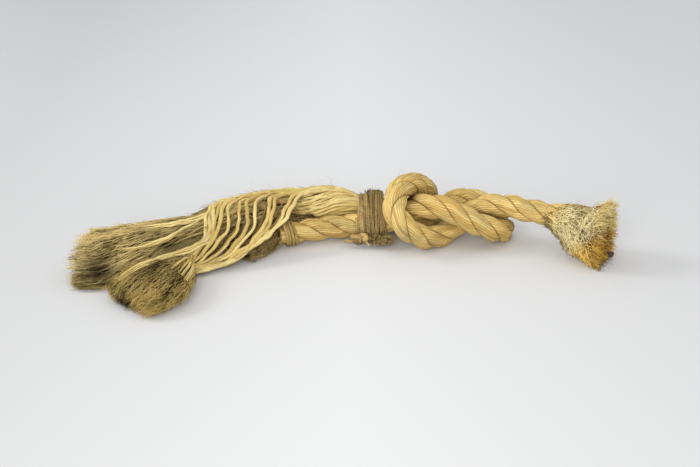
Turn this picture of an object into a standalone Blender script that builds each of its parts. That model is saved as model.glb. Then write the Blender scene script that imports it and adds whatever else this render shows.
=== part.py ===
"""A knotted end of old three-strand manila rope, lying on a flat surface.

Two ropes are knotted through each other. Twine whips their three legs together to the left of
the knot, where two of the legs are unlaid into yarns that fan out and end in frayed brushes.
Metres, +Z up, +X to the right, the front towards -Y. The origin is the middle of the outline
that the whole rope covers on the surface. Lengths in the tables are millimetres.
"""

import math
from collections import namedtuple

import bmesh
import bpy
import numpy as np
from mathutils import Vector

# ---- Driving dimensions, in millimetres ----

MM = 0.001
MIDDLE = (-0.9, -44.5)  # the origin, in the frame of the tables below
GAP = 0.3  # between pieces that touch

ROPE_RADIUS = 12.0
STRANDS = 3
LAY_LENGTH = 72.0  # one full turn of a strand, right-hand lay
GROOVE_DEPTH = 2.6
POINTS_PER_STRAND = 4
ROPE_STEP = 5.0  # between rings along a rope
LEG_END_X = 12.0  # the unlaid legs stop being rope here, inside the whipping

# Routes of the two ropes' middle lines: x, y, z.
# From the flared end, under the knot, up over it as the front loop, and back into the whipping.
STANDING_ROUTE = [
    (197, -11.5, 37.5), (177, -1.5, 37.5), (159, 8.5, 37.5), (142, 14.5, 35.5), (126, 15.5, 29.5),
    (113, 12, 21.3), (101, 4, 13.4), (89, -5, 10.8), (76, -14.5, 13.4), (63, -21, 21.3),
    (51, -23.5, 32.5), (44, -19, 45), (45, -9, 54.5), (52, 5.5, 58.5), (62, 21.5, 56),
    (71.5, 36, 47.5), (77.5, 47, 39), (79, 54.5, 28.5), (73, 59.5, 18), (60, 58.5, 13),
    (47, 54, 11.4), (34, 50, 11.8), (20, 49.5, 12.8), (LEG_END_X, 49.5, 13),
]
# From the whipped tail, through the loop, round behind the standing rope, and back through it.
BIGHT_ROUTE = [
    (-72, -7, 13.8), (-66, -4.6, 13.8), (-50, 0, 14), (-30, 6, 14), (-8, 10.5, 14.5),
    (8, 10, 16), (20, 8.5, 17.3), (32, 7, 19.4), (42, 5, 25.5), (54, 2.5, 33.5),
    (68, 1, 40), (82, -2, 42), (98, -7, 40), (114, -11, 33.5), (130, -12.5, 26),
    (145, -7, 18), (154.5, 6, 12), (153, 24, 12.5), (144, 38, 19.2), (132, 43.5, 27),
    (120, 43.5, 30), (108, 39, 29.5), (98, 32.5, 25.5), (88, 27, 21), (77, 25, 19),
    (66, 24, 19.2), (55, 26, 21.8), (42, 29, 26.5), (28, 30.7, 29.2), (LEG_END_X, 31, 29.5),
]

# The whipping round the three legs: outer thickness over the legs at each station.
Band = namedtuple("Band", "x thickness")
WHIPPING = [Band(6.4, 0.8), Band(7.6, 2.4), Band(15, 2.6), Band(21, 2.4), Band(26, 2.7), Band(31.1, 2.4),
            Band(32.2, 0.8)]
WHIPPING_LEG_RADIUS = 13.2  # a leg cut square to X is a little wider than the rope
WHIPPING_SIDES = 42
TAIL_WHIPPING_X = (-69.5, -56.0)
TAIL_WHIPPING_THICKNESS = 1.2

# Small pieces of the whipping: a knot on its front and a frayed tuft of tow under it.
Lump = namedtuple("Lump", "x y z radius_x radius_y radius_z")
WHIPPING_KNOT = Lump(9.2, -11, 10.6, 8.8, 5, 5)
WHIPPING_TOW = Lump(31, -11, 8.8, 13, 4.4, 5)

# Soft masses as sections along their length: half sizes across, and the roll of a section
# about its length in degrees, positive where its far side is higher.
Section = namedtuple("Section", "x y z half_width half_height roll")
YARN_BUNDLE = [
    Section(LEG_END_X - 2 * GAP, 40.2, 21.2, 22, 11, -41),
    Section(6, 40.2, 21.3, 22, 11.5, -41),
    Section(-3, 38.8, 24, 22, 13, -38),
    Section(-15, 35, 29, 20.5, 15, -30),
    Section(-30, 30, 32.5, 19, 16.3, -12),
    Section(-45, 25, 32.7, 18, 15, 0),
    Section(-60, 23, 34.6, 18, 13.6, 0),
    Section(-75, 15.5, 35.5, 18.5, 14.2, 0),
    Section(-90, 5.5, 34.6, 20, 16, 0),
    Section(-110, -5, 34, 20, 16.5, 5),
    Section(-130, -16, 32, 19.5, 15.5, 8),
    Section(-151, -29.5, 29, 17.5, 10.7, 10),
]
REAR_BRUSH = [
    Section(-149, -28.5, 29, 17, 11, 10),
    Section(-170, -40, 27.5, 19.5, 13.5, 14),
    Section(-190, -51, 26.5, 23, 15, 18),
    Section(-210, -60.5, 24, 27, 15.5, 22),
    Section(-229, -68, 20, 31, 15.5, 24),
    Section(-246, -73, 17, 33, 14.5, 24),
    Section(-257, -71, 16, 30, 14, 24),
    Section(-264.5, -70, 15, 24, 11.5, 24),
]
FRONT_BRUSH = [
    Section(-146, -66, 12.5, 7, 7, 0),
    Section(-157, -79, 13.5, 12.5, 11, 0),
    Section(-166.5, -94, 14, 23, 14.5, 0),
    Section(-178, -110.5, 13.5, 34.5, 15.5, 0),
    Section(-190, -126.5, 11.5, 35, 14, 0),
    Section(-199, -138.5, 8.5, 30.5, 10, 0),
    Section(-204, -144.5, 6, 24, 7, 0),
]
TAIL_BRUSH = [
    Section(-73, -7.5, 13.8, 11, 11, 0),
    Section(-77.5, -9.4, 13.4, 11.5, 11.3, 0),
    Section(-83, -13.5, 12, 12.3, 11, 0),
    Section(-90, -22, 10, 13, 10, 0),
    Section(-99, -33, 9, 12, 9, 0),
    Section(-104, -41, 7, 9, 7, 0),
]
FLARED_END = [
    Section(197 + GAP, -11.7, 37.5, 12, 12, 0),
    Section(203, -14.7, 37.4, 12.8, 13.4, 0),
    Section(210, -18.7, 35.5, 14.5, 16.6, 0),
    Section(220, -24.6, 32.6, 18.5, 20.8, 0),
    Section(231, -31, 27.6, 23.5, 25, 0),
    Section(241, -37.3, 27.1, 26.5, 30.9, 0),
    Section(250.5, -43.2, 27.2, 28, 37.3, 0),
]
SECTION_STEP = 9.0
SECTION_SIDES = 16

# Front yarns: the first and the last one's points; those between are spaced evenly. Each comes
# out of the bundle's crest and slants down to the gather at the front brush.
FRONT_YARNS = 9
YARN_LOCK_RADIUS = 2.7
FIRST_YARN = [(-40, 25, 42), (-50, 13, 50), (-60, -9, 45), (-69, -25, 33.5), (-84, -38, 25),
              (-99, -50, 15.5), (-116, -61, 9.5), (-135, -69, 8), (-151, -77, 11)]
LAST_YARN = [(-122, -9, 42), (-132, -20, 51), (-135, -38, 45), (-136, -46, 36), (-138, -50, 27),
             (-141, -56, 22), (-144, -62, 18), (-147, -68, 16), (-151, -76, 15)]
YARN_STEP = 9.0

# The nail: where its shank crosses the flared end's face, its direction, and its sizes.
NAIL_PLACE = (251.6, -38.6, 9.5)
NAIL_DIRECTION = (0.55, -0.80, -0.10)
NAIL_SHANK_RADIUS = 1.25
NAIL_HEAD_RADIUS = 3.4
NAIL_HEAD_THICKNESS = 1.2
NAIL_IN = 14.0
NAIL_OUT = 6.0

# Material: colour, roughness, metallic.
ROPE_LOOK = ((0.63, 0.44, 0.14), 0.85, 0.0)
YARN_LOOK = ((0.60, 0.45, 0.17), 0.85, 0.0)
FRAY_LOOK = ((0.27, 0.20, 0.08), 0.95, 0.0)
TWINE_LOOK = ((0.33, 0.22, 0.08), 0.9, 0.0)
NAIL_LOOK = ((0.07, 0.05, 0.04), 0.6, 0.8)


# ---- Shared tools ----

def clear_scene():
    for item in list(bpy.data.objects):
        bpy.data.objects.remove(item, do_unlink=True)


def new_collection(name):
    collection = bpy.data.collections.new(name)
    bpy.context.scene.collection.children.link(collection)
    return collection


def material(name, look):
    colour, roughness, metallic = look
    made = bpy.data.materials.new(name)
    made.use_nodes = True
    shader = made.node_tree.nodes["Principled BSDF"]
    shader.inputs["Base Color"].default_value = (*colour, 1.0)
    shader.inputs["Roughness"].default_value = roughness
    shader.inputs["Metallic"].default_value = metallic
    return made


def to_metres(points):
    """Table places, in millimetres, as metres about the origin."""
    return (np.asarray(points, float) - (*MIDDLE, 0.0)) * MM


def smooth_rows(rows, step):
    """Rows of numbers on a smooth curve through the given rows, evenly spaced by their first three."""
    rows = np.asarray(rows, float)
    rows = np.vstack([2 * rows[0] - rows[1], rows, 2 * rows[-1] - rows[-2]])
    dense = []
    for before, start, end, after in zip(rows, rows[1:], rows[2:], rows[3:]):
        knots = [0.0]
        for near, far in ((before, start), (start, end), (end, after)):
            knots.append(knots[-1] + np.linalg.norm((far - near)[:3]) ** 0.5)
        t0, t1, t2, t3 = knots
        u = np.linspace(t1, t2, 24, endpoint=False)[:, None]
        a = (before * (t1 - u) + start * (u - t0)) / (t1 - t0)
        b = (start * (t2 - u) + end * (u - t1)) / (t2 - t1)
        c = (end * (t3 - u) + after * (u - t2)) / (t3 - t2)
        d = (a * (t2 - u) + b * (u - t0)) / (t2 - t0)
        e = (b * (t3 - u) + c * (u - t1)) / (t3 - t1)
        dense.append((d * (t2 - u) + e * (u - t1)) / (t2 - t1))
    dense = np.vstack([*dense, rows[-2:-1]])
    steps = np.linalg.norm(np.diff(dense[:, :3], axis=0), axis=1)
    length = np.concatenate([[0.0], np.cumsum(steps)])
    places = np.linspace(0.0, length[-1], max(2, round(length[-1] / step) + 1))
    return np.stack([np.interp(places, length, column) for column in dense.T], axis=1)


def rest_on_surface(mesh):
    """Flattens what would reach below the surface that the rope lies on."""
    for vertex in mesh.vertices:
        vertex.co.z = max(vertex.co.z, 0.0)


def finish(name, mesh, look, collection):
    rest_on_surface(mesh)
    mesh.shade_smooth()
    mesh.set_sharp_from_angle(angle=math.radians(50))
    mesh.materials.clear()
    mesh.materials.append(look)
    item = bpy.data.objects.new(name, mesh)
    collection.objects.link(item)
    return item


def mesh_of_curve(curve):
    """The closed mesh of a bevelled curve, with its caps joined to its sides."""
    item = bpy.data.objects.new(curve.name, curve)
    bpy.context.scene.collection.objects.link(item)
    graph = bpy.context.evaluated_depsgraph_get()
    mesh = bpy.data.meshes.new_from_object(item.evaluated_get(graph))
    mesh.name = curve.name
    bpy.data.objects.remove(item, do_unlink=True)
    body = bmesh.new()
    body.from_mesh(mesh)
    bmesh.ops.remove_doubles(body, verts=body.verts, dist=1e-6)
    bmesh.ops.recalc_face_normals(body, faces=body.faces)
    body.to_mesh(mesh)
    body.free()
    return mesh


def poly_curve(name, points, tilts=None):
    curve = bpy.data.curves.new(name, "CURVE")
    curve.dimensions = "3D"
    curve.twist_mode = "MINIMUM"
    curve.use_fill_caps = True
    spline = curve.splines.new("POLY")
    spline.points.add(len(points) - 1)
    for index, (point, place) in enumerate(zip(spline.points, to_metres(points))):
        point.co = (*place, 1.0)
        if tilts is not None:
            point.tilt = tilts[index]
    return curve


def loft(name, rings):
    """A closed body through rings of points, with flat ends."""
    body = bmesh.new()
    rings = [[body.verts.new(place) for place in to_metres(ring)] for ring in rings]
    for near, far in zip(rings, rings[1:]):
        for side in range(len(near)):
            after = (side + 1) % len(near)
            body.faces.new((near[side], near[after], far[after], far[side]))
    body.faces.new(rings[0])
    body.faces.new(rings[-1])
    bmesh.ops.recalc_face_normals(body, faces=body.faces)
    mesh = bpy.data.meshes.new(name)
    body.to_mesh(mesh)
    body.free()
    return mesh


def section_rings(sections, grow=0.0):
    """Ellipses square to the line through the sections' middles, each rolled about it."""
    rows = smooth_rows(sections, 1.0)
    ahead = np.gradient(rows[:, :3], axis=0)
    chosen = np.linspace(0, len(rows) - 1, round(len(rows) / SECTION_STEP) + 1).astype(int)
    rows, ahead = rows[chosen], ahead[chosen]
    middles = rows[:, :3].copy()
    ahead /= np.linalg.norm(ahead, axis=1, keepdims=True)
    middles[0] -= ahead[0] * grow
    middles[-1] += ahead[-1] * grow
    side = np.cross(ahead, (0.0, 0.0, 1.0))
    side *= np.where(side[:, 1:2] < 0, -1.0, 1.0) / np.linalg.norm(side, axis=1, keepdims=True)
    up = np.cross(side, ahead)
    up *= np.where(up[:, 2:] < 0, -1.0, 1.0)
    turn = np.linspace(0.0, 2 * math.pi, SECTION_SIDES, endpoint=False)[:, None]
    for middle, across, above, (width, height, roll) in zip(middles, side, up, rows[:, 3:]):
        roll = math.radians(roll)
        wide = across * math.cos(roll) + above * math.sin(roll)
        tall = above * math.cos(roll) - across * math.sin(roll)
        yield middle + (width + grow) * np.cos(turn) * wide + (height + grow) * np.sin(turn) * tall


def hidden_cutter(name, mesh, collection):
    item = bpy.data.objects.new(name, mesh)
    item.hide_render = True
    item.display_type = "WIRE"
    collection.objects.link(item)
    return item


def join(item, other, operation):
    change = item.modifiers.new(f"{operation.lower()}_{other.name}", "BOOLEAN")
    change.operation = operation
    change.solver = "EXACT"
    change.object = other


# ---- Pieces ----

def strand_profile(collection):
    """The outline of three strands laid together: a circle with a groove between strands."""
    count = STRANDS * POINTS_PER_STRAND
    curve = bpy.data.curves.new("strand_profile", "CURVE")
    curve.dimensions = "2D"
    spline = curve.splines.new("POLY")
    spline.points.add(count - 1)
    spline.use_cyclic_u = True
    for index, point in enumerate(spline.points):
        turn = 2 * math.pi * index / count
        crown = abs(math.cos(STRANDS * turn / 2))
        radius = ROPE_RADIUS - GROOVE_DEPTH * (1 - crown) ** 1.5
        point.co = (radius * MM * math.cos(turn), radius * MM * math.sin(turn), 0.0, 1.0)
    return hidden_cutter("strand_profile", curve, collection)


def laid_rope(name, route, profile, look, collection):
    """A rope along its route: the grooved outline turns once in each lay length."""
    points = smooth_rows(route, ROPE_STEP)
    along = np.concatenate([[0.0], np.cumsum(np.linalg.norm(np.diff(points, axis=0), axis=1))])
    curve = poly_curve(name, points, tilts=2 * math.pi * along / LAY_LENGTH)
    curve.bevel_mode = "OBJECT"
    curve.bevel_object = profile
    return finish(name, mesh_of_curve(curve), look, collection)


def leg_centres(x):
    """Where the three legs cross the square plane at x, as (y, z)."""
    centres = []
    for route in (BIGHT_ROUTE, STANDING_ROUTE):
        points = smooth_rows(route, 1.0)
        crossed = np.nonzero(np.diff(points[:, 0] > x))[0]
        centres += [points[index, 1:] for index in crossed if abs(points[index, 0] - x) < 2]
    return centres


def band_ring(x, radius):
    """The line that a taut cord would take round the legs at x, as points in equal turns."""
    centres = np.array(leg_centres(x))
    turn = np.linspace(0.0, 2 * math.pi, WHIPPING_SIDES, endpoint=False)
    outward = np.stack([np.cos(turn), np.sin(turn)], axis=1)
    furthest = (centres @ outward.T).argmax(axis=0)
    hull = centres[furthest] + radius * outward
    return np.column_stack([np.full(len(hull), x), hull])


def main_whipping(look, collection):
    """The wall between the legs and the twine's outside, from station to station."""
    inner = WHIPPING_LEG_RADIUS + GAP
    stations = [(max(band.x, LEG_END_X), band) for band in WHIPPING]
    outside = [band_ring(at, inner + band.thickness) - (at - band.x, 0, 0) for at, band in stations]
    inside = [band_ring(at, inner) - (at - band.x, 0, 0) for at, band in stations]
    body = bmesh.new()
    rings = [[body.verts.new(place) for place in to_metres(ring)] for ring in outside + inside[::-1]]
    for near, far in zip(rings, rings[1:] + rings[:1]):
        for side in range(WHIPPING_SIDES):
            after = (side + 1) % WHIPPING_SIDES
            body.faces.new((near[side], near[after], far[after], far[side]))
    bmesh.ops.recalc_face_normals(body, faces=body.faces)
    mesh = bpy.data.meshes.new("main_whipping")
    body.to_mesh(mesh)
    body.free()
    return finish("main_whipping", mesh, look, collection)


def tail_whipping(look, collection):
    """A short sleeve of twine round the bight rope's tail."""
    low, high = TAIL_WHIPPING_X
    points = smooth_rows(BIGHT_ROUTE, 4.5)
    points = points[(points[:, 0] > low) & (points[:, 0] < high)]
    meshes = []
    for name, radius, longer in (("tail_whipping", TAIL_WHIPPING_THICKNESS, 0), ("tail_bore", 0.0, 1)):
        stretch = points.copy()
        stretch[0] += longer * (points[0] - points[1])
        stretch[-1] += longer * (points[-1] - points[-2])
        curve = poly_curve(name, stretch)
        curve.bevel_depth = (ROPE_RADIUS + 2 * GAP + radius) * MM
        curve.bevel_resolution = 4
        meshes.append(mesh_of_curve(curve))
    sleeve = finish("tail_whipping", meshes[0], look, collection)
    return sleeve, meshes[1]


def lump(name, shape, look, collection):
    """A rounded knot or tuft."""
    bpy.ops.mesh.primitive_uv_sphere_add(segments=16, ring_count=9, radius=1.0)
    source = bpy.context.object
    mesh = source.data
    mesh.name = name
    bpy.data.objects.remove(source, do_unlink=True)
    scale = np.array([shape.radius_x, shape.radius_y, shape.radius_z]) * MM
    place = to_metres([(shape.x, shape.y, shape.z)])[0]
    for vertex in mesh.vertices:
        vertex.co = Vector(np.array(vertex.co) * scale + place)
    return finish(name, mesh, look, collection)


def unlaid_yarns(look, collection, cutters, brushes):
    """The bundle behind and the slanting locks before it, as one comb, cut clear of the brushes."""
    comb = finish("unlaid_yarns", loft("unlaid_yarns", section_rings(YARN_BUNDLE)), look, collection)
    for index in range(FRONT_YARNS):
        share = index / (FRONT_YARNS - 1)
        route = (1 - share) * np.array(FIRST_YARN, float) + share * np.array(LAST_YARN, float)
        curve = poly_curve(f"lock_{index + 1}", smooth_rows(route, YARN_STEP))
        curve.bevel_depth = YARN_LOCK_RADIUS * MM
        curve.bevel_resolution = 1
        join(comb, hidden_cutter(curve.name, mesh_of_curve(curve), cutters), "UNION")
    for brush in brushes:
        join(comb, brush, "DIFFERENCE")
    return comb


def nail_rings(grow):
    """The nail's outline, turned: a round shank with a flat head, from its tip outwards."""
    shank, head = NAIL_SHANK_RADIUS + grow, NAIL_HEAD_RADIUS + grow
    under_head = NAIL_OUT - grow
    return [(0.0, -NAIL_IN - grow), (shank, -NAIL_IN - grow + shank), (shank, under_head),
            (head, under_head), (head, under_head + NAIL_HEAD_THICKNESS + 2 * grow),
            (0.0, under_head + NAIL_HEAD_THICKNESS + 2 * grow)]


def turned_nail(name, grow):
    """The nail's outline spun about its direction."""
    body = bmesh.new()
    ahead = Vector(NAIL_DIRECTION).normalized()
    aside = ahead.orthogonal().normalized()
    place = Vector(to_metres([NAIL_PLACE])[0])
    points = [place + (aside * radius + ahead * along) * MM for radius, along in nail_rings(grow)]
    line = [body.verts.new(point) for point in points]
    edges = [body.edges.new(pair) for pair in zip(line, line[1:])]
    bmesh.ops.spin(body, geom=line + edges, cent=place, axis=ahead, steps=16, angle=2 * math.pi)
    bmesh.ops.remove_doubles(body, verts=body.verts, dist=1e-6)
    bmesh.ops.recalc_face_normals(body, faces=body.faces)
    mesh = bpy.data.meshes.new(name)
    body.to_mesh(mesh)
    body.free()
    return mesh


# ---- Assembly ----

clear_scene()
parts = new_collection("knotted_rope_end")
cutters = new_collection("cutters")

rope_look = material("manila_rope", ROPE_LOOK)
yarn_look = material("manila_yarn", YARN_LOOK)
fray_look = material("frayed_fibre", FRAY_LOOK)
twine_look = material("brown_twine", TWINE_LOOK)
nail_look = material("rusted_nail", NAIL_LOOK)

profile = strand_profile(cutters)
laid_rope("standing_rope", STANDING_ROUTE, profile, rope_look, parts)
laid_rope("bight_rope", BIGHT_ROUTE, profile, rope_look, parts)

main_whipping(twine_look, parts)
sleeve, bore = tail_whipping(twine_look, parts)
join(sleeve, hidden_cutter("tail_bore", bore, cutters), "DIFFERENCE")
lump("whipping_knot", WHIPPING_KNOT, twine_look, parts)
lump("whipping_tow", WHIPPING_TOW, fray_look, parts)

finish("front_brush", loft("front_brush", section_rings(FRONT_BRUSH)), fray_look, parts)
rear = finish("rear_brush", loft("rear_brush", section_rings(REAR_BRUSH)), fray_look, parts)
finish("tail_brush", loft("tail_brush", section_rings(TAIL_BRUSH)), fray_look, parts)
around_front = hidden_cutter("around_front", loft("around_front", section_rings(FRONT_BRUSH, GAP)), cutters)
around_rear = hidden_cutter("around_rear", loft("around_rear", section_rings(REAR_BRUSH, GAP)), cutters)
join(rear, around_front, "DIFFERENCE")
unlaid_yarns(yarn_look, parts, cutters, (around_front, around_rear))

flare = finish("flared_end", loft("flared_end", section_rings(FLARED_END)), rope_look, parts)
join(flare, hidden_cutter("nail_hole", turned_nail("nail_hole", GAP), cutters), "DIFFERENCE")
finish("nail", turned_nail("nail", 0.0), nail_look, parts)
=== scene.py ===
"""A knotted end of old three-strand manila rope, dressed for the studio.

Two ropes are knotted through each other, whipped with twine, unlaid into yarns and frayed. Tables are in
millimetres, in the frame that the rope was laid out in; in_metres() moves them to the model's frame.
"""

import math

import bpy
import numpy as np
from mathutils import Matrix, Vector


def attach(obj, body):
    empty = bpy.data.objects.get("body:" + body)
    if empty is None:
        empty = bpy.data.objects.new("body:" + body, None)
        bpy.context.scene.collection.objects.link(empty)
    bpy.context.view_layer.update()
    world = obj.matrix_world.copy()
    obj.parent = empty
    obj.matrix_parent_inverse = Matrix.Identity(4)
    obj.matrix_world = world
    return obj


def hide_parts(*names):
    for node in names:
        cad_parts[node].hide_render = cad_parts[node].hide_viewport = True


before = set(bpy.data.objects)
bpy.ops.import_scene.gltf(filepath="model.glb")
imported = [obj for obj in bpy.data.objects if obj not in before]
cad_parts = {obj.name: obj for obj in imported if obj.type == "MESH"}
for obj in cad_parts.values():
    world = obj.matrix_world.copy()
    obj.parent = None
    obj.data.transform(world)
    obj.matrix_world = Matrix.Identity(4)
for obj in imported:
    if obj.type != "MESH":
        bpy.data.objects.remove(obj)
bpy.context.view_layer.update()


# ==== Camera, floor and light ====
# A studio table: the rope lies on a wide pale sweep of paper. A large soft lamp stands at the upper
# left, a little behind the rope, and the pale room fills the shadows.

FRAME_LOOKS_AT = (0.0009, 0.0367, 0.0147)
CAMERA_PLACE = (0.0009, -1.2321, 0.6064)
CAMERA_LENS = 72.0  # mm, on a sensor 36 mm wide
FLOOR_HALF = 6.0
PAPER_DEPTH = (-0.45, 0.35)  # m, over which the paper goes from its near colour to its far one: a painted falloff of light
PAPER_NEAR = (238, 238, 237)
PAPER_FAR = (242, 242, 242)
PAPER_WIDTH = (-0.4, 0.4)
PAPER_LEFT_FALLOFF = (227, 227, 227)  # painted shade: the paper's colour darkens towards its sides, where the light falls off: what is left of 255
PAPER_RIGHT_FALLOFF = (245, 245, 245)
LAMPS = [  # name, place, what it is aimed at, size in m, power in W
    ("key_lamp", (-1.5, 0.25, 1.15), (0, 0, 0), 0.6, 8.8),
    ("top_lamp", (0.1, -0.1, 1.7), (0, 0, 0), 0.9, 1.5),
    ("front_lamp", (-0.35, -1.7, 0.75), (0, 0, 0.03), 1.0, 16.5),
]
ROOM_COLOUR = (0.97, 0.98, 1.0, 1.0)
ROOM_STRENGTH = 0.63


def paint(*srgb):
    """Linear colour and alpha of one written as 0 to 255: each channel c becomes ((c + 0.055) / 1.055) to
    the power 2.4, or c / 12.92 when dark.
    """
    c = np.array(srgb, float) / 255
    return (*np.where(c > 0.04045, ((c + 0.055) / 1.055) ** 2.4, c / 12.92), 1.0)


def add_node(tree, kind, inputs=(), **settings):
    """A shader node of this kind. Each input is a value to write, or another node's output to link."""
    node = tree.nodes.new("ShaderNode" + kind)
    for name, value in settings.items():
        setattr(node, name, value)
    for socket, value in dict(inputs).items():
        if isinstance(value, bpy.types.NodeSocket):
            tree.links.new(value, node.inputs[socket])
        else:
            node.inputs[socket].default_value = value
    return node


def new_material(name, roughness, specular=0.5):
    """A material, its node tree and its main shader, ready for links."""
    material = bpy.data.materials.new(name)
    material.use_nodes = True
    shader = material.node_tree.nodes["Principled BSDF"]
    shader.inputs["Roughness"].default_value = roughness
    shader.inputs["Specular IOR Level"].default_value = specular
    return material, material.node_tree, shader


def object_place(tree):
    """The place on the piece, in metres."""
    return add_node(tree, "TexCoord").outputs["Object"]


def ranged(tree, value, low, high, top=1.0):
    """What goes evenly from 0 to top as the value goes from low to high."""
    limits = {"Value": value, "From Min": low, "From Max": high, "To Max": top}
    return add_node(tree, "MapRange", limits).outputs["Result"]


def ramp(tree, fac, *stops):
    """A colour that changes evenly between stops of (place, red, green, blue) as fac goes from 0 to 1."""
    node = add_node(tree, "ValToRGB", {"Fac": fac})
    while len(node.color_ramp.elements) < len(stops):
        node.color_ramp.elements.new(0.5)
    for element, (place, *colour) in zip(node.color_ramp.elements, stops):
        element.position = place
        element.color = paint(*colour)
    return node.outputs["Color"]


def mixed(tree, fac, first, second, blend="MIX"):
    """The two colours mixed by fac."""
    colours = {0: fac, 6: first, 7: second}
    return add_node(tree, "Mix", colours, data_type="RGBA", blend_type=blend).outputs[2]


def set_up(name, data, place, aim):
    """A lamp or camera at place, turned so that its own -Z points at aim, with its +Y up."""
    item = bpy.data.objects.new(name, data)
    item.location = place
    item.rotation_euler = (Vector(aim) - Vector(place)).to_track_quat("-Z", "Y").to_euler()
    bpy.context.scene.collection.objects.link(item)
    return item


paper = bpy.data.meshes.new("paper")
square = ((-1, -1), (1, -1), (1, 1), (-1, 1))
paper.from_pydata([(x * FLOOR_HALF, y * FLOOR_HALF, 0) for x, y in square], [], [(0, 1, 2, 3)])
floor = bpy.data.objects.new("floor", paper)
bpy.context.scene.collection.objects.link(floor)
paper_look, tree, shader = new_material("pale_paper", 0.9, 0.15)
place = add_node(tree, "SeparateXYZ", {"Vector": object_place(tree)}).outputs
# The paper's colours are a painted falloff of light: a little darker near, and darker towards the sides.
base = ramp(tree, ranged(tree, place["Y"], *PAPER_DEPTH), (0, *PAPER_NEAR), (1, *PAPER_FAR))
across = ranged(tree, place["X"], *PAPER_WIDTH)
sides = ramp(tree, across, (0, *PAPER_LEFT_FALLOFF), (0.5, 255, 255, 255), (1, *PAPER_RIGHT_FALLOFF))
tree.links.new(mixed(tree, 1.0, base, sides, "MULTIPLY"), shader.inputs["Base Color"])
paper.materials.append(paper_look)

for name, place, aim, size, power in LAMPS:
    lamp = bpy.data.lights.new(name, "AREA")
    lamp.shape = "SQUARE"
    lamp.size = size
    lamp.energy = power
    set_up(name, lamp, place, aim)
world = bpy.data.worlds.new("room")
world.use_nodes = True
room = world.node_tree.nodes["Background"].inputs
room["Color"].default_value = ROOM_COLOUR
room["Strength"].default_value = ROOM_STRENGTH
bpy.context.scene.world = world
bpy.context.scene.view_settings.view_transform = "Standard"

lens = bpy.data.cameras.new("camera")
lens.lens = CAMERA_LENS
lens.sensor_width = 36.0
bpy.context.scene.camera = set_up("camera", lens, CAMERA_PLACE, FRAME_LOOKS_AT)


# ==== The two ropes ====
# Three-strand manila, 24 mm thick, laid right-handed. Each strand is a bundle of yarns twisted the
# other way, so that a yarn on the outside runs nearly straight along the rope. The lay has set hard
# with age; the grooves are painted darker, for the dirt in them and for their shade.

MIDDLE = (-0.9, -44.5, 0.0)
ROPE_RADIUS = 12.0
LAY_LENGTH = 72.0  # of one turn of a strand
YARN_TURN = 46.0  # length of one turn of a yarn in its strand, the other way
STRAND_YARNS = 16  # on the outside of a strand
YARN_SIDES = 4  # faces across a yarn
STRAND_MIDDLE = 6.2  # from the rope's middle line
STRAND_CROWN = 7.9  # radius of the strand's outer face
PRESSED_AT = 5 * math.pi / 6  # bearing of a strand's neighbours, either way from its crown
SOFTNESS = 16.0  # the power that rounds the meeting of crown and pressed planes: less is rounder
YARN_RELIEF = 0.6
YARN_PROUD = 0.22  # how far a yarn stands out or sinks along its way
FACE_FROM, FACE_OVER = 8.8, 1.8  # from the rope's middle: below this a strand has little relief
GROOVE_BELOW, GROOVE_OVER = 9.2, 0.9  # and below this it is painted darker: dirt, and shade in the groove
STREAK_RADIUS = 5.7  # of the straight frame that the streaks are drawn in
STREAK_APART = 30  # between the frames of two strands
ROPE_STEP = 1.5
STANDING_ROUTE = [
    (197, -11.5, 37.5), (177, -1.5, 37.5), (159, 8.5, 37.5), (142, 14.5, 35.5), (126, 15.5, 29.5),
    (113, 12, 21.3), (101, 4, 13.4), (89, -5, 10.8), (76, -14.5, 13.4), (63, -21, 21.3),
    (51, -23.5, 32.5), (44, -19, 45), (45, -9, 54.5), (52, 5.5, 58.5), (62, 21.5, 56),
    (71.5, 36, 47.5), (77.5, 47, 39), (79, 54.5, 28.5), (73, 59.5, 18), (60, 58.5, 13),
    (47, 54, 11.4), (34, 50, 11.8), (20, 49.5, 12.8), (12, 49.5, 13),
]
BIGHT_ROUTE = [
    (-72, -7, 13.8), (-66, -4.6, 13.8), (-50, 0, 14), (-30, 6, 14), (-8, 10.5, 14.5),
    (8, 10, 16), (20, 8.5, 17.3), (32, 7, 19.4), (42, 5, 25.5), (54, 2.5, 33.5),
    (68, 1, 40), (82, -2, 42), (98, -7, 40), (114, -11, 33.5), (130, -12.5, 26),
    (145, -7, 18), (154.5, 6, 12), (153, 24, 12.5), (144, 38, 19.2), (132, 43.5, 27),
    (120, 43.5, 30), (108, 39, 29.5), (98, 32.5, 25.5), (88, 27, 21), (77, 25, 19),
    (66, 24, 19.2), (55, 26, 21.8), (42, 29, 26.5), (28, 30.7, 29.2), (12, 31, 29.5),
]
STANDING_SET = [(0, 0.52), (60, 0.5), (150, 0.0)]  # how the lay has shifted: (mm along, turn in radians)
BIGHT_SET = [(0, 0.0), (120, -0.2), (250, -0.2)]
STANDING_SQUEEZE = [(322, 1.0), (332, 0.93), (343, 0.93), (353, 0.74)]  # (mm along, share of its size)
BIGHT_SQUEEZE = [
    (80, 1.0), (90, 0.93), (108, 0.93), (116, 1.0), (128, 1.0), (142, 1.07), (166, 1.07), (184, 1.0),
    (384, 1.0), (394, 0.93), (403, 0.93), (413, 0.74),
]
KNOT_DIRT_AND_SHADE = [  # x, y, z, reach, strength: where the knot is painted darker, for painted shade in its crevices and under its crossings, and for its dirt
    (60, 1, 45, 9, 0.9), (60, 7, 47, 6, 1.0), (72, 14, 40, 9, 0.6), (143, 0, 27, 7, 0.6),
    (160, 10, 17, 10, 0.55), (80, 5, 16, 10, 0.5), (97, 12, 22, 9, 0.5), (46, 2, 30, 10, 0.4),
    (112, 16, 34, 8, 0.4), (30, 12, 8, 9, 0.35),
]


def in_metres(points):
    """Table places, in millimetres, moved to the model's frame and turned into metres."""
    return (np.asarray(points, float) - MIDDLE) * 0.001


def unit(vectors):
    """Each vector divided by its own length."""
    return vectors / np.linalg.norm(vectors, axis=-1, keepdims=True)


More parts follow.
